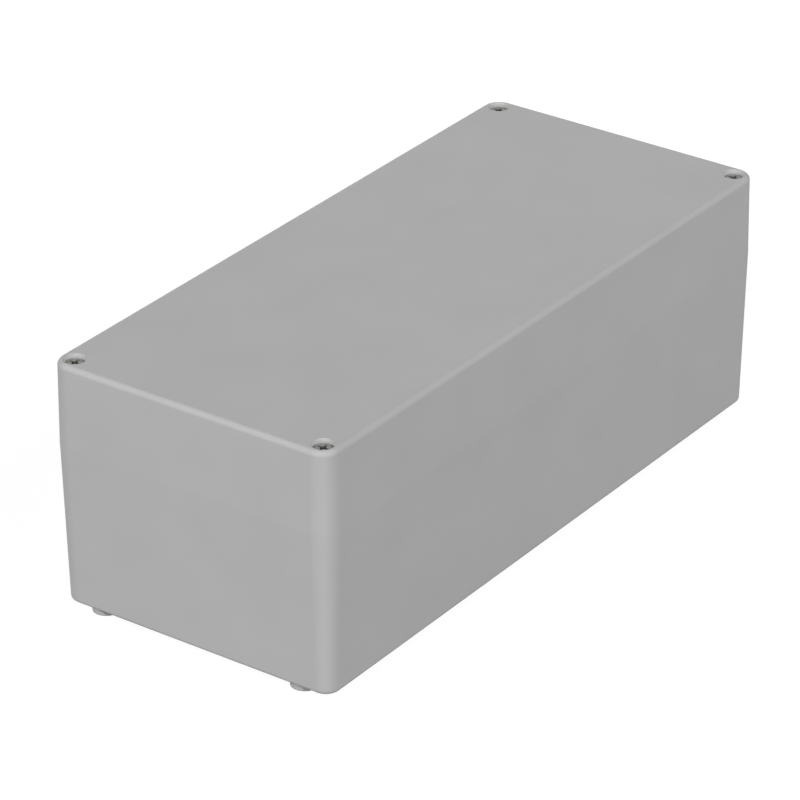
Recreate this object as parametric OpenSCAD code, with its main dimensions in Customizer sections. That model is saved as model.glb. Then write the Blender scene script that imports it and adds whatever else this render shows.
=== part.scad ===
// Moulded plastic enclosure: base on four feet, deep lid, seal and captive lid screws.
// Millimetres, +Z up, length along X, origin under the middle of the feet.

/* [Outline] */
// Length at the parting line
case_length = 271.5; // [220:0.5:340]
// Width at the parting line
case_width = 120; // [100:1:180]
// Height of the base from its underside to the parting line
base_h = 63.4; // [45:0.2:90]
// Height of the lid above the parting line
lid_h = 32; // [28:0.5:50]
// Wall thickness of base and lid
wall = 4; // [3.8:0.1:5]
// Floor thickness of the base
floor_t = 4; // [3:0.1:6]
// Top plate thickness of the lid
top_t = 4; // [3:0.1:6]
// Radius of the upright corners at the parting line
corner_r = 7.4; // [7:0.1:10]
// Radius of the lid's top edge
top_edge_r = 2; // [1:0.1:4]
// Radius of the base's bottom edge
bottom_edge_r = 1.8; // [1:0.1:3]
// Radius inside, where walls meet floor or top plate
inside_edge_r = 1.5; // [0.5:0.1:3]
// Draft of the base's walls, in degrees
base_draft = 1.4; // [0.5:0.1:2]
// Draft of the lid's walls, in degrees
lid_draft = 0.7; // [0.3:0.1:1.5]

/* [Feet and fixing holes] */
// Diameter of a foot at its tread
foot_d = 10; // [8:0.1:11]
// Height of a foot below the underside
foot_h = 1.6; // [1:0.1:4]
// Draft of a foot's side, in degrees
foot_draft = 4; // [1:0.5:6]
// Fixing hole and foot, in from the end of the case
fixing_inset_x = 6.9; // [6.7:0.1:8]
// Fixing hole and foot, in from the long side of the case
fixing_inset_y = 16.3; // [15:0.1:22]
// Diameter of the fixing hole through a foot
fixing_hole_d = 4.5; // [3:0.1:5.5]
// Diameter at the mouth of the well that leads down to a fixing hole
fixing_well_d = 7.6; // [6.5:0.1:8.2]
// Diameter at the bottom of the well
fixing_well_floor_d = 7.2; // [6:0.1:7.8]

/* [Lid screws] */
// Screw axis in from the end and from the long side of the case
screw_inset = 6.7; // [6.6:0.1:7.4]
// Thread diameter
thread_d = 4; // [3:0.1:4.2]
// Reach of a tight screw below the parting line
screw_reach = 12.6; // [11:0.1:14]
// Length of the threaded end
thread_l = 12.7; // [12:0.1:14]
// Chamfer on the tip
tip_chamfer = 0.6; // [0.2:0.1:1]
// Diameter of the thin neck above the thread
neck_d = 3; // [2:0.1:3.2]
// Length of the thick guide below the head
guide_l = 8; // [4:0.5:10]
// Head diameter
head_d = 7; // [6:0.1:7.6]
// Head height
head_h = 2.7; // [2:0.1:3.5]
// Chamfer round the head's top face
head_chamfer = 0.6; // [0.2:0.1:0.9]
// Head's top face below the lid's top
head_sink = 1.5; // [0.5:0.1:3]
// Width of the cross slots in the head
cross_w = 0.9; // [0.6:0.05:1.2]
// Span of the cross slots
cross_span = 4.1; // [3:0.1:5.2]
// Depth of the cross slots
cross_depth = 1.7; // [1:0.1:1.8]
// Diameter of the wide middle of the cross at the head's face
cross_core_d = 2.1; // [1.4:0.1:3]
// Room all round the head in its recess
head_clear = 0.3; // [0.2:0.05:0.6]
// Flare of the recess from the head's top face to its mouth, on the radius
recess_flare = 0.4; // [0.1:0.1:0.8]
// Diameter of the screw hole through the lid
lid_hole_d = 4.6; // [4.4:0.1:5]

/* [Captive retainer and insert] */
// Outside diameter of the retaining ring on the neck
retainer_d = 6.2; // [5.4:0.1:6.4]
// Thickness of the retaining ring
retainer_t = 1.5; // [1:0.1:2]
// Retaining ring above the parting line, screw tight
retainer_lift = 0.4; // [0.4:0.1:1]
// Outside diameter of the threaded insert
insert_d = 6; // [5.4:0.1:6.4]
// Length of the threaded insert
insert_l = 10; // [6:0.5:11]
// Insert's end below the parting line
insert_sink = 0.2; // [0.1:0.1:0.5]
// Width of the groove round the middle of the insert
insert_groove_w = 2; // [1:0.1:3]
// Depth of that groove
insert_groove_depth = 0.5; // [0.2:0.1:0.8]

/* [Seal] */
// Width of the groove under the lid
groove_w = 1.7; // [1.5:0.1:1.8]
// Depth of the groove
groove_depth = 4; // [3.6:0.1:5]
// Lip of the lid between groove and cavity
inner_lip = 1; // [0.8:0.1:1.2]
// Width of the tongue on the base
tongue_w = 1.4; // [1:0.1:1.4]
// Height of the tongue
tongue_h = 2.4; // [2:0.1:3]
// Chamfer on the tongue's top edges
tongue_chamfer = 0.3; // [0.1:0.1:0.4]
// Radius of the seal line where it leaves a wall
seal_outer_r = 3; // [2:0.1:3]
// Radius of the seal line round a corner block
seal_inner_r = 2.5; // [2:0.1:3]

/* [Inside] */
// Diameter of a board boss
boss_d = 8; // [6:0.1:10]
// Height of a board boss above the floor
boss_h = 6; // [4:0.5:12]
// Pilot hole of a board boss
boss_hole_d = 2.9; // [2:0.1:4]
// Depth of the pilot hole
boss_hole_depth = 7; // [4:0.5:7.5]
// Board bosses, spacing along the length
boss_pitch_x = 200; // [120:1:220]
// Board bosses, spacing across the width
boss_pitch_y = 80; // [50:1:88]
// Board guides along each long wall
guide_count = 4; // [2:1:5]
// Spacing of the board guides
guide_pitch = 48; // [30:1:56]
// Slot between the two ribs of a guide
guide_slot = 1.9; // [1.2:0.1:2.6]
// Width of a guide rib
guide_rib_w = 1.6; // [1:0.1:2.5]
// Reach of a guide rib into the case at the floor
guide_reach = 2.4; // [1.5:0.1:4]
// Guide ribs end below the parting line
guide_top_gap = 8; // [3:0.5:20]

/* [Clearances] */
// Round the gasket in its groove
gasket_clear = 0.05; // [0.02:0.01:0.1]
// Round the neck in the retaining ring
neck_clear = 0.05; // [0.02:0.01:0.1]
// Round the thread in the insert
thread_clear = 0.05; // [0.02:0.01:0.1]
// Round the retaining ring in its chamber
chamber_clear = 0.35; // [0.3:0.05:0.5]
// Above the retaining ring in its chamber, screw undone
chamber_room = 0.5; // [0.3:0.1:2]
// Free depth below the tip of a tight screw
tip_room = 2; // [1:0.5:4]

/* [Hidden] */
$fn = 48;
// Overshoot of cutting shapes past the faces that they cut, and of ribs into the wall that carries them
over = 1;
// Overlap that keeps the arc of a rounded edge joined to its wall
blend = 0.0005;

// Levels
parting_z = foot_h + base_h;
top_z = parting_z + lid_h;
floor_z = foot_h + floor_t;
seat_z = top_z - head_sink - head_h;
tip_z = parting_z - screw_reach;
retainer_z = parting_z + retainer_lift;
insert_z = parting_z - insert_sink - insert_l;

// Length of a screw below its head, and depth of the chamber that its ring travels in
screw_l = seat_z - tip_z;
chamber_depth = retainer_lift + retainer_t + screw_reach + chamber_room;

// Inside of the case at the parting line
inside_l = case_length - 2 * wall;
inside_w = case_width - 2 * wall;

// Corner blocks that hold a screw and a fixing well outside the seal, measured from the case's outline
block_l = fixing_inset_x + fixing_well_d / 2 + wall;
block_w = fixing_inset_y + fixing_well_d / 2 + wall;

// Seal line: middle of tongue, groove and gasket
seal_in = inner_lip + groove_w / 2;
block_r = seal_inner_r + seal_in;
seal_end_x = inside_l / 2 + seal_in;
seal_side_y = inside_w / 2 + seal_in;
seal_block_x = case_length / 2 - block_l + seal_in;
seal_block_y = case_width / 2 - block_w + seal_in;
quarter = [
    [seal_end_x, seal_block_y],
    [seal_block_x, seal_block_y],
    [seal_block_x, seal_side_y]
];
function turned(p, sx, sy) = [sx * p[0], sy * p[1]];
seal_line = concat(
    [for (i = [0:2]) quarter[i]],
    [for (i = [2:-1:0]) turned(quarter[i], -1, 1)],
    [for (i = [0:2]) turned(quarter[i], -1, -1)],
    [for (i = [2:-1:0]) turned(quarter[i], 1, -1)]
);

// Corners of the case, counted anticlockwise from +X +Y
CORNERS = [[1, 1], [-1, 1], [-1, -1], [1, -1]];
corner_names = [1, 2, 3, 4];

// Place at a corner of the case, in from its end and from its long side
function inset_at(c, x, y) = [c[0] * (case_length / 2 - x), c[1] * (case_width / 2 - y)];
function screw_at(c) = inset_at(c, screw_inset, screw_inset);
function fixing_at(c) = inset_at(c, fixing_inset_x, fixing_inset_y);

module at_screws() {
    for (c = CORNERS)
        translate(screw_at(c))
            children();
}

module at_fixings() {
    for (c = CORNERS)
        translate(fixing_at(c))
            children();
}

// Half section of a drafted wall, from the axis of its corner outward.
// It starts at the parting line, narrows with height by the draft and ends in a rounded edge.
module drafted_section(r, h, draft, edge_r, start = 0) {
    tangent = [r - (h - edge_r) * tan(draft) - edge_r / cos(draft), h - edge_r];
    touch = tangent + edge_r * [cos(draft), sin(draft)];
    mid = tangent + [blend, 0];
    polygon([[0, start], [r - start * tan(draft), start], touch, mid, [mid[0], h], [0, h]]);
    translate(mid)
        circle(edge_r);
}

// Half section that widens with height by the draft
module widening_section(r, h, draft, start) {
    polygon([[0, start], [r + start * tan(draft), start], [r + h * tan(draft), h], [0, h]]);
}

// Sweeps a half section round a rectangle with round corners and fills the middle
module rounded_box(l, w, r, h, start = 0) {
    turn = [0, 90, 180, 270];
    for (i = [0:3]) {
        run = (i % 2 == 0) ? w - 2 * r : l - 2 * r;
        translate([CORNERS[i][0] * (l / 2 - r), CORNERS[i][1] * (w / 2 - r), 0])
            rotate(turn[i]) {
                rotate_extrude(angle = 90)
                    children();
                rotate([90, 0, 0])
                    linear_extrude(run)
                        children();
            }
    }
    translate([r - l / 2, r - w / 2, start])
        cube([l - 2 * r, w - 2 * r, h - start]);
}

// Sweeps a section along the seal line: its x runs outward from the line, its y is height
module along_seal() {
    n = len(seal_line);
    for (i = [0:n - 1]) {
        before = seal_line[(i + n - 1) % n];
        here = seal_line[i];
        after = seal_line[(i + 1) % n];
        far = seal_line[(i + 2) % n];
        way_in = (here - before) / norm(here - before);
        way_out = (after - here) / norm(after - here);
        way_far = (far - after) / norm(far - after);
        r = bend_r(way_in, way_out);
        next_r = bend_r(way_out, way_far);
        heading = atan2(way_out[1], way_out[0]);
        translate(here + r * (way_out - way_in))
            if (turns_left(way_in, way_out))
                rotate(heading + 180)
                    rotate_extrude(angle = 90)
                        translate([r, 0])
                            children();
            else
                rotate(atan2(way_in[1], way_in[0]))
                    rotate_extrude(angle = 90)
                        translate([r, 0])
                            mirror([1, 0])
                                children();
        translate(after - next_r * way_out)
            rotate([90, 0, heading - 90])
                linear_extrude(norm(after - here) - r - next_r)
                    children();
    }
}

function turns_left(a, b) = a[0] * b[1] - a[1] * b[0] > 0;
function bend_r(a, b) = turns_left(a, b) ? seal_outer_r : seal_inner_r;

// Inside of base or lid: a drafted hollow, less the four corner blocks
module hollow(h, draft) {
    difference() {
        rounded_box(inside_l, inside_w, corner_r, h, -over)
            drafted_section(corner_r, h, draft, inside_edge_r, -over);
        for (c = CORNERS)
            translate([c[0] * case_length / 2, c[1] * case_width / 2, 0])
                rounded_box(2 * block_l, 2 * block_w, block_r, h + over, -2 * over)
                    widening_section(block_r, h + over, draft, -2 * over);
    }
}

// Round taper from d1 to d2 over the height h, carried on past its mouth
module taper_cut(h, d1, d2) {
    cylinder(h = h + over, d1 = d1, d2 = d2 + (d2 - d1) * over / h);
}

module foot() {
    h = foot_h + bottom_edge_r;
    cylinder(h = h, d1 = foot_d, d2 = foot_d + 2 * h * tan(foot_draft));
}

module fixing_bore() {
    translate([0, 0, -over])
        cylinder(h = floor_z + 2 * over, d = fixing_hole_d);
    translate([0, 0, floor_z])
        taper_cut(base_h - floor_t, fixing_well_floor_d, fixing_well_d);
}

module insert_bore() {
    translate([0, 0, insert_z])
        cylinder(h = parting_z - insert_z + over, d = insert_d);
    translate([0, 0, tip_z - tip_room])
        cylinder(h = insert_z - tip_z + tip_room + over, d = lid_hole_d);
}

module board_boss() {
    difference() {
        translate([0, 0, floor_z - over])
            cylinder(h = boss_h + over, d = boss_d);
        translate([0, 0, floor_z + boss_h - boss_hole_depth])
            cylinder(h = boss_hole_depth + over, d = boss_hole_d);
    }
}

// Two upright ribs on the long wall at +Y, with a slot for a board's edge
module board_guide() {
    wall_drop = base_h - floor_t;
    reach_y = inside_w / 2 - wall_drop * tan(base_draft) - guide_reach;
    for (side = [-1, 1])
        translate([side * (guide_slot + guide_rib_w) / 2 - guide_rib_w / 2, reach_y, floor_z - over])
            cube([guide_rib_w, inside_w / 2 + over - reach_y, wall_drop - guide_top_gap + over]);
}

module board_guides() {
    for (i = [0:guide_count - 1], flip = [0, 1])
        mirror([0, flip, 0])
            translate([(i - (guide_count - 1) / 2) * guide_pitch, 0, 0])
                board_guide();
}

module tongue_section() {
    half = tongue_w / 2;
    neck = tongue_h - tongue_chamfer;
    polygon([
        [-half, -over],
        [half, -over],
        [half, neck],
        [half - tongue_chamfer, tongue_h],
        [tongue_chamfer - half, tongue_h],
        [-half, neck]
    ]);
}

module enclosure_base() {
    color("darkgray") {
        difference() {
            union() {
                translate([0, 0, parting_z])
                    mirror([0, 0, 1])
                        rounded_box(case_length, case_width, corner_r, base_h)
                            drafted_section(corner_r, base_h, base_draft, bottom_edge_r);
                at_fixings()
                    foot();
            }
            translate([0, 0, parting_z])
                mirror([0, 0, 1])
                    hollow(base_h - floor_t, base_draft);
            at_fixings()
                fixing_bore();
            at_screws()
                insert_bore();
        }
        translate([0, 0, parting_z])
            along_seal()
                tongue_section();
        for (x = [-1, 1], y = [-1, 1])
            translate([x * boss_pitch_x / 2, y * boss_pitch_y / 2, 0])
                board_boss();
        board_guides();
    }
}

// Half outline of the recess for a screw's head: straight round the head, then flared to its mouth
module recess_section() {
    recess_r = head_d / 2 + head_clear;
    past_mouth = over * recess_flare / head_sink;
    polygon([
        [0, seat_z],
        [recess_r, seat_z],
        [recess_r, seat_z + head_h],
        [recess_r + recess_flare + past_mouth, top_z + over],
        [0, top_z + over]
    ]);
}

module lid_screw_bore() {
    translate([0, 0, parting_z - over])
        cylinder(h = lid_h + over, d = lid_hole_d);
    rotate_extrude()
        recess_section();
    translate([0, 0, parting_z - over])
        cylinder(h = chamber_depth + over, d = retainer_d + 2 * chamber_clear);
}

// Blind pocket in the lid above a fixing well
module lid_pocket() {
    translate([0, 0, top_z - top_t])
        mirror([0, 0, 1])
            taper_cut(lid_h - top_t, fixing_well_floor_d, fixing_well_d);
}

module groove_section() {
    translate([-groove_w / 2, -over])
        square([groove_w, groove_depth + over]);
}

module enclosure_lid() {
    color("darkgray")
        difference() {
            translate([0, 0, parting_z])
                rounded_box(case_length, case_width, corner_r, lid_h)
                    drafted_section(corner_r, lid_h, lid_draft, top_edge_r);
            translate([0, 0, parting_z])
                hollow(lid_h - top_t, lid_draft);
            translate([0, 0, parting_z])
                along_seal()
                    groove_section();
            at_screws()
                lid_screw_bore();
            at_fixings()
                lid_pocket();
        }
}

module gasket_section() {
    gasket_w = groove_w - 2 * gasket_clear;
    translate([-gasket_w / 2, tongue_h])
        square([gasket_w, groove_depth - tongue_h]);
}

module lid_gasket() {
    color("dimgray")
        translate([0, 0, parting_z])
            along_seal()
                gasket_section();
}

module cross_recess() {
    for (a = [0, 90])
        rotate(a)
            translate([-cross_span / 2, -cross_w / 2, -cross_depth])
                cube([cross_span, cross_w, cross_depth + over]);
    translate([0, 0, -cross_depth])
        taper_cut(cross_depth, cross_w, cross_core_d);
}

// Half outline of a screw from its tip: thread, thin neck, guide and head
module screw_section() {
    thread_r = thread_d / 2;
    guide_z = screw_l - guide_l;
    head_r = head_d / 2;
    end_z = screw_l + head_h;
    polygon([
        [0, 0],
        [thread_r - tip_chamfer, 0],
        [thread_r, tip_chamfer],
        [thread_r, thread_l],
        [neck_d / 2, thread_l],
        [neck_d / 2, guide_z],
        [thread_r, guide_z],
        [thread_r, screw_l],
        [head_r, screw_l],
        [head_r, end_z - head_chamfer],
        [head_r - head_chamfer, end_z],
        [0, end_z]
    ]);
}

module lid_screw(i) {
    color("silver")
        translate(screw_at(CORNERS[i - 1]))
            difference() {
                translate([0, 0, tip_z])
                    rotate_extrude()
                        screw_section();
                translate([0, 0, seat_z + head_h])
                    cross_recess();
            }
}

module screw_retainer(i) {
    color("white")
        translate(screw_at(CORNERS[i - 1]))
            translate([0, 0, retainer_z])
                difference() {
                    cylinder(h = retainer_t, d = retainer_d);
                    translate([0, 0, -over])
                        cylinder(h = retainer_t + 2 * over, d = neck_d + 2 * neck_clear);
                }
}

module threaded_insert(i) {
    color("goldenrod")
        translate(screw_at(CORNERS[i - 1]))
            translate([0, 0, insert_z])
                difference() {
                    cylinder(h = insert_l, d = insert_d);
                    translate([0, 0, -over])
                        cylinder(h = insert_l + 2 * over, d = thread_d + 2 * thread_clear);
                    translate([0, 0, (insert_l - insert_groove_w) / 2])
                        difference() {
                            cylinder(h = insert_groove_w, d = insert_d + over);
                            cylinder(h = insert_groove_w, d = insert_d - 2 * insert_groove_depth);
                        }
                }
}

enclosure_base();
enclosure_lid();
lid_gasket();
for (i = corner_names) {
    lid_screw(i);
    screw_retainer(i);
    threaded_insert(i);
}
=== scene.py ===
"""Looks of a moulded plastic enclosure with captive lid screws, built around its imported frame."""

import math

import bmesh
import bpy
from mathutils import Matrix, Vector


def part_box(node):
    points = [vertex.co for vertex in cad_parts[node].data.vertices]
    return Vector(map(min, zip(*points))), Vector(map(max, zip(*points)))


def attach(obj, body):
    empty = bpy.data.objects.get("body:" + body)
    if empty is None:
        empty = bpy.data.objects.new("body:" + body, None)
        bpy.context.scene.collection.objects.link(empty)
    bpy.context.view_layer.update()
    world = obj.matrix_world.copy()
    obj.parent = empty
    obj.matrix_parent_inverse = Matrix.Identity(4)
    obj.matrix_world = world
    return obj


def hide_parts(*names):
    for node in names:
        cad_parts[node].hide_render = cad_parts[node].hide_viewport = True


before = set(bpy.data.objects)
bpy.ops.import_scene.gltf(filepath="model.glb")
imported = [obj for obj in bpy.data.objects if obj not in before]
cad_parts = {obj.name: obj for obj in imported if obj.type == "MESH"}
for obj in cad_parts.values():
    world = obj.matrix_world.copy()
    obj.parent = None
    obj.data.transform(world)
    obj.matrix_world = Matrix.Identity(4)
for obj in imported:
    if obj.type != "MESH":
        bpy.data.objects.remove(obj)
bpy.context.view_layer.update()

MM = 0.001
CORNERS = (1, 2, 3, 4)

# View of the photograph: degrees, millimetres, and the focal length in pixels of an 800 pixel frame
VIEW_AZIMUTH = -54.24
VIEW_ELEVATION = 28.004
VIEW_ROLL = -0.282
VIEW_DISTANCE = 1609.22
VIEW_AIM = (-16.317, -3.683, 49.3)
FOCAL_PIXELS = 4453.2
FRAME_PIXELS = 800
SENSOR_W = 36.0

# Drop from the feet to the floor, in millimetres
FLOOR_GAP = 0.05

# Part of a noise's range that colours and roughness follow
NOISE_LOW = 0.3
NOISE_HIGH = 0.7

# Seams and edges of the pieces, in millimetres and degrees
WELD_REACH = 0.001
GASKET_EDGE = 0.3
RETAINER_EDGE = 0.25
EDGE_SEGMENTS = 3
EDGE_ANGLE = 35
SMOOTH_ANGLE = 40

# Threads: pitch and depths in millimetres, steepness and crest of the vee, and rings to a pitch
THREAD_PITCH = 0.7
SCREW_THREAD_DEPTH = 0.4
INSERT_THREAD_DEPTH = 0.36
THREAD_SLOPE = 1.3
THREAD_CREST = 0.12
THREAD_STEPS = 8

# Screw from its head to its tip, in millimetres, with the steps of its rounded edge
SCREW_HEAD_H = 2.7
SCREW_EDGE_R = 0.6
SCREW_EDGE_STEPS = 5
SCREW_HEAD_BREAK = 0.1
SCREW_FILLET = 0.15
SCREW_GUIDE_L = 8.0
SCREW_GUIDE_CHAMFER = 0.2
SCREW_NECK_R = 1.5
SCREW_NECK_FILLET = 0.1
SCREW_THREAD_L = 12.7
SCREW_THREAD_R = 2.0
SCREW_RUNOUT = 0.8
SCREW_TIP_CHAMFER = 0.6

# Cross recess in millimetres, with the steps of its outline
CROSS_CORE_R = 1.05
CROSS_HALF_SPAN = 2.05
CROSS_HALF_W = 0.45
CROSS_DEPTH = 1.75
CROSS_CORE_STEPS = 4
CROSS_FLANK_STEPS = 3

# Taper of the cross from its lowest ring up: share of the outline, and depth in millimetres
CROSS_TAPER = ((0.34, 1.68), (0.66, 1.3), (0.86, 0.7), (1.0, 0.07), (1.03, 0.0))

# Rounded end of a wing in half widths: where its flank ends, and the point from there to the tip
WING_FLANK_BACK = 0.3
WING_POINT_BACK = 0.08
WING_POINT_OUT = 0.72

# Insert from its foot to its rim, in millimetres
INSERT_FOOT_INSET = 0.35
INSERT_LEAD_INSET = 0.1
INSERT_LEAD_H = 0.25
INSERT_KNURL_LOW = 0.5
INSERT_KNURL_DEPTH = 0.14
INSERT_GROOVE_W = 2.0
INSERT_GROOVE_DEPTH = 0.5
INSERT_GROOVE_LIP = 0.1
INSERT_GROOVE_FOOT = 0.25
INSERT_COLLAR_H = 0.5
INSERT_COLLAR_STEP = 0.2
INSERT_RIM_BREAK = 0.12
INSERT_MOUTH_W = 0.45
INSERT_MOUTH_H = 0.4
INSERT_BORE_R = 2.05

# Knurl: number of teeth, and shares of its depth round one tooth
KNURL_TEETH = 28
KNURL_DIPS = (0.0, 0.5, 1.0, 0.5)


# Camera, lamps and stage

def direction(azimuth, elevation):
    """Unit vector from the object towards a viewer or lamp, in degrees as the views count them."""
    a, e = math.radians(azimuth), math.radians(elevation)
    return Vector((math.sin(a) * math.cos(e), -math.cos(a) * math.cos(e), math.sin(e)))


def make_camera():
    """Camera of the photograph's view, turned about its own axis by the roll."""
    back = direction(VIEW_AZIMUTH, VIEW_ELEVATION)
    level = Vector((math.cos(math.radians(VIEW_AZIMUTH)), math.sin(math.radians(VIEW_AZIMUTH)), 0))
    above = back.cross(level)
    roll = math.radians(VIEW_ROLL)
    right = level * math.cos(roll) + above * math.sin(roll)
    up = above * math.cos(roll) - level * math.sin(roll)
    data = bpy.data.cameras.new("camera")
    data.sensor_width = SENSOR_W
    data.lens = FOCAL_PIXELS / FRAME_PIXELS * SENSOR_W
    camera = bpy.data.objects.new("camera", data)
    bpy.context.scene.collection.objects.link(camera)
    place = (Vector(VIEW_AIM) + back * VIEW_DISTANCE) * MM
    turn = Matrix((right, up, back)).transposed()
    camera.matrix_world = Matrix.Translation(place) @ turn.to_4x4()
    bpy.context.scene.camera = camera


def make_sun(name, azimuth, elevation, strength, width, glossy=True):
    """Distant lamp, width degrees across, which may be left out of reflections."""
    data = bpy.data.lights.new(name, "SUN")
    data.energy = strength
    data.angle = math.radians(width)
    lamp = bpy.data.objects.new(name, data)
    bpy.context.scene.collection.objects.link(lamp)
    lamp.rotation_mode = "QUATERNION"
    lamp.rotation_quaternion = direction(azimuth, elevation).to_track_quat("Z", "Y")
    lamp.visible_glossy = glossy


def add_node(tree, kind, **values):
    """New node with its sockets set by name."""
    node = tree.nodes.new(kind)
    for name, value in values.items():
        node.inputs[name.replace("_", " ")].default_value = value
    return node


def seen_directly(tree):
    """Socket that is 1 for camera, glossy and transmission rays, and 0 for the light between surfaces."""
    path = tree.nodes.new("ShaderNodeLightPath")
    seen = path.outputs["Is Camera Ray"]
    for name in ("Is Glossy Ray", "Is Transmission Ray"):
        larger = tree.nodes.new("ShaderNodeMath")
        larger.operation = "MAXIMUM"
        tree.links.new(seen, larger.inputs[0])
        tree.links.new(path.outputs[name], larger.inputs[1])
        seen = larger.outputs[0]
    return seen


def show_apart(tree, lit, shown, out):
    """Gives the light between surfaces one shader, and what is seen directly another."""
    mix = tree.nodes.new("ShaderNodeMixShader")
    tree.links.new(seen_directly(tree), mix.inputs[0])
    tree.links.new(lit.outputs[0], mix.inputs[1])
    tree.links.new(shown.outputs[0], mix.inputs[2])
    tree.links.new(mix.outputs[0], out.inputs[0])


def make_world(ambient):
    """White surroundings that give only a little light."""
    world = bpy.data.worlds.new("studio")
    bpy.context.scene.world = world
    world.use_nodes = True
    tree = world.node_tree
    tree.nodes.clear()
    out = tree.nodes.new("ShaderNodeOutputWorld")
    lit = add_node(tree, "ShaderNodeBackground", Color=(1, 1, 1, 1), Strength=ambient)
    shown = add_node(tree, "ShaderNodeBackground", Color=(1, 1, 1, 1), Strength=1.0)
    show_apart(tree, lit, shown, out)


def make_floor(half_width, bounce, pale, lift):
    """Pale floor. Seen directly it is white in the light and keeps the object's shadow."""
    signs = ((-1, -1), (1, -1), (1, 1), (-1, 1))
    corners = [(x * half_width, y * half_width, -FLOOR_GAP * MM) for x, y in signs]
    mesh = bpy.data.meshes.new("floor")
    mesh.from_pydata(corners, [], [(0, 1, 2, 3)])
    floor = bpy.data.objects.new("floor", mesh)
    bpy.context.scene.collection.objects.link(floor)
    material = bpy.data.materials.new("pale_floor")
    material.use_nodes = True
    tree = material.node_tree
    tree.nodes.clear()
    out = tree.nodes.new("ShaderNodeOutputMaterial")
    lit = add_node(tree, "ShaderNodeBsdfDiffuse", Color=(*grey(bounce), 1))
    white = add_node(tree, "ShaderNodeBsdfDiffuse", Color=(*grey(pale), 1))
    glow = add_node(tree, "ShaderNodeEmission", Color=(1, 1, 1, 1), Strength=lift)
    shown = tree.nodes.new("ShaderNodeAddShader")
    tree.links.new(white.outputs[0], shown.inputs[0])
    tree.links.new(glow.outputs[0], shown.inputs[1])
    show_apart(tree, lit, shown, out)
    mesh.materials.append(material)


# Materials

def grey(value):
    """Colour with all channels alike."""
    return (value, value, value)


def surface(name, **values):
    """New material with a Principled shader, its tree, its shader and the object's own coordinates."""
    material = bpy.data.materials.new(name)
    material.use_nodes = True
    tree = material.node_tree
    shader = tree.nodes["Principled BSDF"]
    for key, value in values.items():
        shader.inputs[key.replace("_", " ")].default_value = value
    coordinates = tree.nodes.new("ShaderNodeTexCoord").outputs["Object"]
    return material, tree, shader, coordinates


def noise(tree, coordinates, scale, detail, rough=0.5):
    """Noise along coordinates, with its scale in cells a metre."""
    node = add_node(tree, "ShaderNodeTexNoise", Scale=scale, Detail=detail, Roughness=rough)
    tree.links.new(coordinates, node.inputs["Vector"])
    return node.outputs["Fac"]


def paint(tree, shader, source, low, high):
    """Base colour from low to high along a noise."""
    node = tree.nodes.new("ShaderNodeValToRGB")
    first, last = node.color_ramp.elements
    first.position = NOISE_LOW
    last.position = NOISE_HIGH
    first.color = (*low, 1)
    last.color = (*high, 1)
    tree.links.new(source, node.inputs[0])
    tree.links.new(node.outputs[0], shader.inputs["Base Color"])


def roughen(tree, shader, source, low, high):
    """Roughness from low to high along a noise."""
    node = add_node(tree, "ShaderNodeMapRange", To_Min=low, To_Max=high)
    node.inputs["From Min"].default_value = NOISE_LOW
    node.inputs["From Max"].default_value = NOISE_HIGH
    tree.links.new(source, node.inputs["Value"])
    tree.links.new(node.outputs[0], shader.inputs["Roughness"])


def bump(tree, shader, source, strength, height):
    """Relief along a noise, with its height in millimetres."""
    node = add_node(tree, "ShaderNodeBump", Strength=strength, Distance=height * MM)
    tree.links.new(source, node.inputs["Height"])
    tree.links.new(node.outputs[0], shader.inputs["Normal"])


def moulded_plastic():
    """Grey moulded plastic with a fine spark-eroded grain."""
    material, tree, shader, at = surface("moulded_plastic", IOR=1.46, Specular_IOR_Level=0.12)
    clouds = noise(tree, at, scale=38, detail=3)
    grain = noise(tree, at, scale=2600, detail=2)
    paint(tree, shader, clouds, low=grey(0.372), high=grey(0.386))
    roughen(tree, shader, grain, low=0.6, high=0.72)
    bump(tree, shader, grain, strength=0.12, height=0.02)
    return material


def gasket_rubber():
    """Black rubber with a dull, slightly dusty skin."""
    material, tree, shader, at = surface("gasket_rubber", IOR=1.5, Specular_IOR_Level=0.3)
    dust = noise(tree, at, scale=420, detail=4, rough=0.6)
    pores = noise(tree, at, scale=5200, detail=2)
    paint(tree, shader, dust, low=grey(0.018), high=grey(0.032))
    roughen(tree, shader, dust, low=0.62, high=0.8)
    bump(tree, shader, pores, strength=0.2, height=0.02)
    return material


def retainer_nylon():
    """Natural nylon, a little see-through."""
    material, tree, shader, at = surface(
        "retainer_nylon",
        IOR=1.53,
        Subsurface_Weight=0.15,
        Subsurface_Scale=0.6 * MM,
        Subsurface_Radius=(1, 0.9, 0.7),
    )
    clouds = noise(tree, at, scale=900, detail=3)
    paint(tree, shader, clouds, low=(0.72, 0.7, 0.62), high=(0.78, 0.76, 0.69))
    roughen(tree, shader, clouds, low=0.34, high=0.46)
    return material


def painted_recess_shade():
    """Painted shade: a dark material put in a driver recess, where shade falls."""
    material, tree, shader, at = surface("painted_recess_shade", Metallic=0.5)
    shade_mottle = noise(tree, at, scale=2400, detail=4, rough=0.6)
    paint(tree, shader, shade_mottle, low=(0.05, 0.05, 0.045), high=(0.11, 0.11, 0.1))
    roughen(tree, shader, shade_mottle, low=0.55, high=0.8)
    return material


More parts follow.
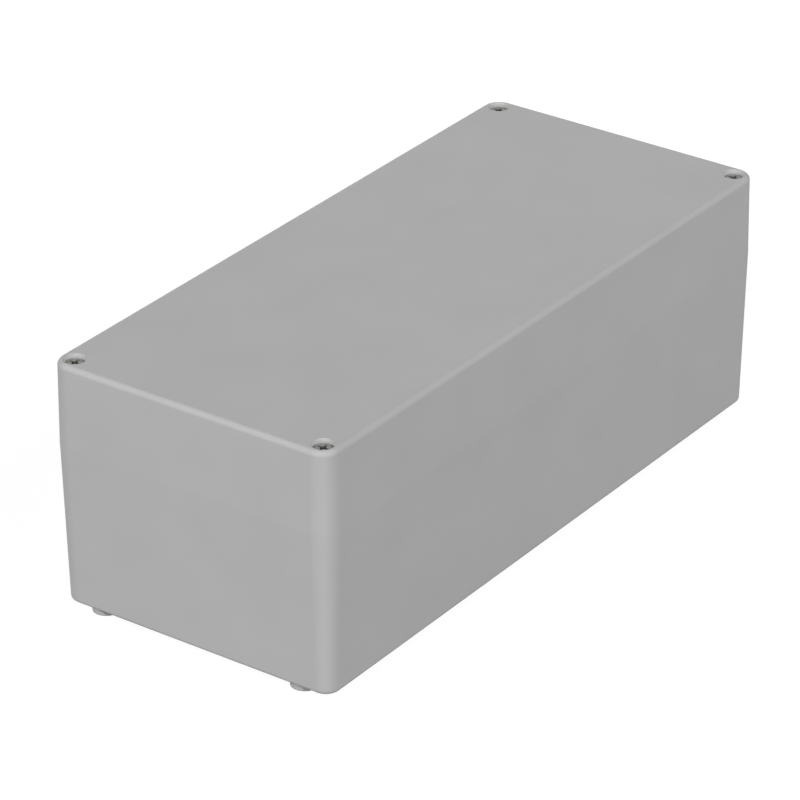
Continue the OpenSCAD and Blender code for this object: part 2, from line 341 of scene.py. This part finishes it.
def turned_metal(name, metallic, dark, light, smooth, rough):
    """Metal with fine turning rings about the piece's own axis, bare or under a dull plating."""
    material, tree, shader, at = surface(name, Metallic=metallic)
    flat = tree.nodes.new("ShaderNodeVectorMath")
    flat.operation = "MULTIPLY"
    flat.inputs[1].default_value = (1, 1, 0)
    tree.links.new(at, flat.inputs[0])
    radius = tree.nodes.new("ShaderNodeVectorMath")
    radius.operation = "LENGTH"
    tree.links.new(flat.outputs[0], radius.inputs[0])
    rings = add_node(tree, "ShaderNodeTexNoise", Scale=9000, Detail=2)
    rings.noise_dimensions = "1D"
    tree.links.new(radius.outputs["Value"], rings.inputs["W"])
    stain = noise(tree, at, scale=1300, detail=4, rough=0.6)
    paint(tree, shader, stain, low=dark, high=light)
    roughen(tree, shader, stain, low=smooth, high=rough)
    bump(tree, shader, rings.outputs["Fac"], strength=0.25, height=0.01)
    return material


# Finish of the CAD pieces

def dress(node, material, edge=None):
    """Puts a material on a node's object, welds its seams and, where a width is given, rounds its edges."""
    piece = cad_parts[node]
    piece.data.materials.clear()
    piece.data.materials.append(material)
    weld = piece.modifiers.new("weld", "WELD")
    weld.merge_threshold = WELD_REACH * MM
    if edge:
        bevel = piece.modifiers.new("bevel", "BEVEL")
        bevel.width = edge * MM
        bevel.segments = EDGE_SEGMENTS
        bevel.limit_method = "ANGLE"
        bevel.angle_limit = math.radians(EDGE_ANGLE)
    weighted = piece.modifiers.new("weighted_normal", "WEIGHTED_NORMAL")
    weighted.mode = "FACE_AREA"
    weighted.keep_sharp = True


# Screws and inserts

def measure(node):
    """Foot of a round node's axis, with the node's radius and height in millimetres."""
    low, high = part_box(node)
    foot = Vector(((low.x + high.x) / 2, (low.y + high.y) / 2, low.z))
    return foot, (high.x - low.x) / 2 / MM, (high.z - low.z) / MM


def polar(radius, angle):
    """Point at a radius and an angle."""
    return (radius * math.cos(angle), radius * math.sin(angle))


def ring(bm, points, z):
    """Vertices at a height, from points in millimetres."""
    return [bm.verts.new((x * MM, y * MM, z * MM)) for x, y in points]


def circle(bm, radius, angles, z):
    """Vertices on a circle at a height, in millimetres."""
    return ring(bm, [polar(radius, a) for a in angles], z)


def grid_faces(bm, rings):
    """Joins rings of vertices, each as long as the next, by faces that look outward when rings go up."""
    for low, high in zip(rings, rings[1:]):
        for i in range(len(low)):
            j = (i + 1) % len(low)
            bm.faces.new((low[i], low[j], high[j], high[i]))


def cap(bm, edge, z, upward):
    """Closes a ring with a fan about the axis."""
    middle = bm.verts.new((0, 0, z * MM))
    for i, vertex in enumerate(edge):
        following = edge[(i + 1) % len(edge)]
        bm.faces.new((vertex, following, middle) if upward else (following, vertex, middle))


def finish_mesh(name, bm, materials, place, body, node):
    """Turns a bmesh into a piece that stands for a CAD node."""
    bmesh.ops.recalc_face_normals(bm, faces=bm.faces)
    mesh = bpy.data.meshes.new(name)
    bm.to_mesh(mesh)
    bm.free()
    for face in mesh.polygons:
        face.use_smooth = True
    mesh.set_sharp_from_angle(angle=math.radians(SMOOTH_ANGLE))
    for material in materials:
        mesh.materials.append(material)
    piece = bpy.data.objects.new(name, mesh)
    piece.location = place
    bpy.context.scene.collection.objects.link(piece)
    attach(piece, body)
    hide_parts(node)
    return piece


def thread_cut(angle, z):
    """How deep a right-handed vee thread is cut at a point: 0 on its crest, 1 at its root."""
    phase = (z / THREAD_PITCH - angle / (2 * math.pi)) % 1.0
    from_crest = 1 - abs(2 * phase - 1)
    return min(1.0, max(0.0, from_crest * THREAD_SLOPE - THREAD_CREST))


def thread_rings(bm, radius, angles, length):
    """Rings of a thread from its top down, where radius gives its form at an angle and a height."""
    steps = int(length / THREAD_PITCH * THREAD_STEPS)
    heights = [length * step / steps for step in range(steps, -1, -1)]
    return [ring(bm, [polar(radius(a, z), a) for a in angles], z) for z in heights]


def cross_outline():
    """Outline of the cross recess: four wings with rounded ends that leave a round core."""
    reach = math.sqrt(CROSS_CORE_R ** 2 - CROSS_HALF_W ** 2)
    lift = math.atan2(CROSS_HALF_W, reach)
    flank = CROSS_HALF_SPAN - WING_FLANK_BACK * CROSS_HALF_W - reach
    half = []
    for step in range(CROSS_CORE_STEPS):
        half.append(polar(CROSS_CORE_R, -math.pi / 4 + (math.pi / 4 - lift) * step / CROSS_CORE_STEPS))
    for step in range(CROSS_FLANK_STEPS + 1):
        half.append((reach + flank * step / CROSS_FLANK_STEPS, -CROSS_HALF_W))
    half.append((CROSS_HALF_SPAN - WING_POINT_BACK * CROSS_HALF_W, -WING_POINT_OUT * CROSS_HALF_W))
    wing = half + [(CROSS_HALF_SPAN, 0.0)] + [(x, -y) for x, y in reversed(half[1:])]
    points = []
    for quarter in range(4):
        c, s = polar(1, quarter * math.pi / 2)
        points += [(x * c - y * s, x * s + y * c) for x, y in wing]
    return points


def screw_profile(head_r, top):
    """Radius and height of the screw's rings, from the head's rounded edge down to the neck."""
    seat = top - SCREW_HEAD_H
    guide = seat - SCREW_GUIDE_L
    profile = []
    for step in range(SCREW_EDGE_STEPS + 1):
        up, out = polar(SCREW_EDGE_R, math.pi / 2 * step / SCREW_EDGE_STEPS)
        profile.append((head_r - SCREW_EDGE_R + out, top - SCREW_EDGE_R + up))
    profile += [
        (head_r, seat + SCREW_HEAD_BREAK),
        (head_r - SCREW_HEAD_BREAK, seat),
        (SCREW_THREAD_R + SCREW_FILLET, seat),
        (SCREW_THREAD_R, seat - SCREW_FILLET),
        (SCREW_THREAD_R, guide + SCREW_GUIDE_CHAMFER),
        (SCREW_THREAD_R - SCREW_GUIDE_CHAMFER, guide),
        (SCREW_NECK_R + SCREW_NECK_FILLET, guide),
        (SCREW_NECK_R, guide - SCREW_NECK_FILLET),
        (SCREW_NECK_R, SCREW_THREAD_L + SCREW_NECK_FILLET),
    ]
    return profile


def screw_thread(angle, z):
    """Radius of the screw's thread, which runs out towards the neck and ends in a chamfered tip."""
    start = SCREW_NECK_R + SCREW_NECK_FILLET
    full = SCREW_THREAD_R - SCREW_THREAD_DEPTH * thread_cut(angle, z)
    run = start + (full - start) * min(1.0, (SCREW_THREAD_L - z) / SCREW_RUNOUT)
    return min(run, SCREW_THREAD_R - max(0.0, SCREW_TIP_CHAMFER - z))


def make_screw(i, metal, recess_shade):
    """Captive screw, whose rings all have the angles of its cross, so that they join face to face."""
    node = f"lid_screw_{i}"
    foot, head_r, top = measure(node)
    outline = cross_outline()
    angles = [math.atan2(y, x) for x, y in outline]
    bm = bmesh.new()
    recess = []
    for share, depth in CROSS_TAPER:
        recess.append(ring(bm, [(x * share, y * share) for x, y in outline], top - depth))
    cap(bm, recess[0], top - CROSS_DEPTH, upward=True)
    grid_faces(bm, recess)
    # The cross recess takes the second material, a dark painted shade.
    for face in bm.faces:
        face.material_index = 1
    outside = [recess[-1]]
    outside += [circle(bm, r, angles, z) for r, z in screw_profile(head_r, top)]
    outside += thread_rings(bm, screw_thread, angles, SCREW_THREAD_L)
    grid_faces(bm, outside)
    cap(bm, outside[-1], 0, upward=False)
    piece = finish_mesh(f"screw_{i}_visual", bm, (metal, recess_shade), foot, f"screw_{i}", node)


def make_insert(i, material):
    """Brass insert: knurled outside with a groove round its waist, and threaded inside."""
    node = f"threaded_insert_{i}"
    foot, outer, length = measure(node)
    dips = KNURL_DIPS * KNURL_TEETH
    angles = [2 * math.pi * k / len(dips) for k in range(len(dips))]
    knurl = [polar(outer - INSERT_KNURL_DEPTH * dip, a) for dip, a in zip(dips, angles)]
    waist = outer - INSERT_GROOVE_DEPTH
    groove_low = (length - INSERT_GROOVE_W) / 2
    groove_high = (length + INSERT_GROOVE_W) / 2
    collar = length - INSERT_COLLAR_H

    def bore(angle, z):
        """Radius of the threaded bore, which widens at both mouths."""
        mouth = INSERT_MOUTH_H - min(z, length - z)
        return INSERT_BORE_R + max(INSERT_THREAD_DEPTH * thread_cut(angle, z), mouth)

    bm = bmesh.new()
    outside = [
        circle(bm, outer - INSERT_FOOT_INSET, angles, 0),
        circle(bm, outer - INSERT_LEAD_INSET, angles, INSERT_LEAD_H),
        ring(bm, knurl, INSERT_KNURL_LOW),
        ring(bm, knurl, groove_low - INSERT_GROOVE_LIP),
        circle(bm, waist, angles, groove_low + INSERT_GROOVE_FOOT),
        circle(bm, waist, angles, groove_high - INSERT_GROOVE_FOOT),
        ring(bm, knurl, groove_high + INSERT_GROOVE_LIP),
        ring(bm, knurl, collar - INSERT_COLLAR_STEP),
        circle(bm, outer, angles, collar),
        circle(bm, outer, angles, length - INSERT_RIM_BREAK),
        circle(bm, outer - INSERT_RIM_BREAK, angles, length),
    ]
    inside = [outside[-1], circle(bm, INSERT_BORE_R + INSERT_MOUTH_W, angles, length)]
    inside += thread_rings(bm, bore, angles, length)
    inside.append(outside[0])
    grid_faces(bm, outside)
    grid_faces(bm, inside)
    piece = finish_mesh(f"insert_{i}_visual", bm, (material,), foot, "base", node)


# The scene

make_camera()
make_sun("left_key", azimuth=-106.8, elevation=25.6, strength=2.84, width=40)
make_sun("front_key", azimuth=-10.8, elevation=30.9, strength=2.92, width=40)
make_sun("back_fill", azimuth=140, elevation=3, strength=4.2, width=12, glossy=False)
make_world(ambient=0.08)
make_floor(half_width=3.0, bounce=0.18, pale=0.12, lift=0.92)

plastic = moulded_plastic()
steel = turned_metal(
    "screw_steel",
    metallic=0.45,
    dark=(0.2, 0.202, 0.187),
    light=(0.295, 0.297, 0.277),
    smooth=0.4,
    rough=0.55,
)
brass = turned_metal(
    "insert_brass",
    metallic=1.0,
    dark=(0.62, 0.43, 0.16),
    light=(0.72, 0.52, 0.22),
    smooth=0.28,
    rough=0.4,
)
# Dark painted shade for the screws' cross recesses
recess_shade = painted_recess_shade()
rubber = gasket_rubber()
nylon = retainer_nylon()

for node in ("enclosure_base", "enclosure_lid"):
    dress(node, plastic)
dress("lid_gasket", rubber, GASKET_EDGE)
for i in CORNERS:
    dress(f"screw_retainer_{i}", nylon, RETAINER_EDGE)
    make_screw(i, steel, recess_shade)
    make_insert(i, brass)

bpy.context.scene.view_settings.view_transform = "Standard"
